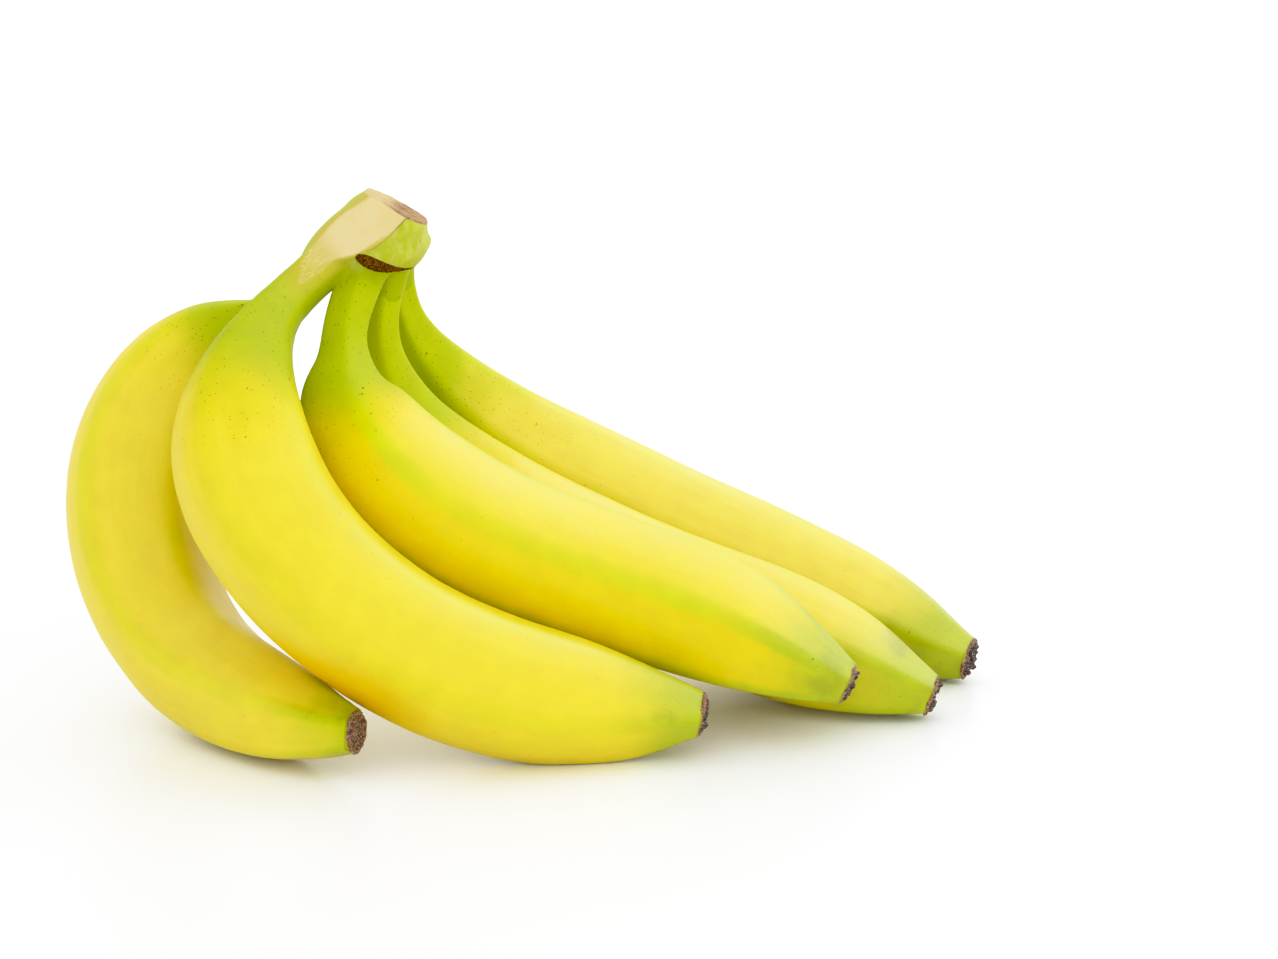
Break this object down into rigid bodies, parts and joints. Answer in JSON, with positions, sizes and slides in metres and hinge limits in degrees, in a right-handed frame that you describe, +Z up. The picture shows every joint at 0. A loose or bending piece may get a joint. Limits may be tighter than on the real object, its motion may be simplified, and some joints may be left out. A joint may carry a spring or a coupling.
{
  "type": "bunch of bananas",
  "caption": "Hand of ripe bananas joined at a knife-cut crown, lying fanned on its bellies, for still-life, kitchen and grocery scenes.",
  "frame": {"origin": "middle of the hand's outer box, on the surface that it rests on", "axes": "+Z up, +X along the hand from the crown side to the tips, -Y towards the side with the crown's pale knife cut"},
  "size_m": [0.2542, 0.1288, 0.1432],
  "materials": {
    "banana_skin": "smooth waxy skin with a soft sheen, yellow on the body and green at the neck and tip",
    "crown": "yellow-green stalk skin with a pale fibrous knife cut, a dried tan top and a brown scar",
    "dried_flower": "rough, dry and dark brown"
  },
  "bodies": {
    "root": {"crown": "crown", "banana_1": "banana_skin", "banana_2": "banana_skin", "banana_3": "banana_skin", "banana_4": "banana_skin", "banana_5": "banana_skin", "blossom_end_1": "dried_flower", "blossom_end_2": "dried_flower", "blossom_end_3": "dried_flower", "blossom_end_4": "dried_flower", "blossom_end_5": "dried_flower"}
  },
  "joints": []
}
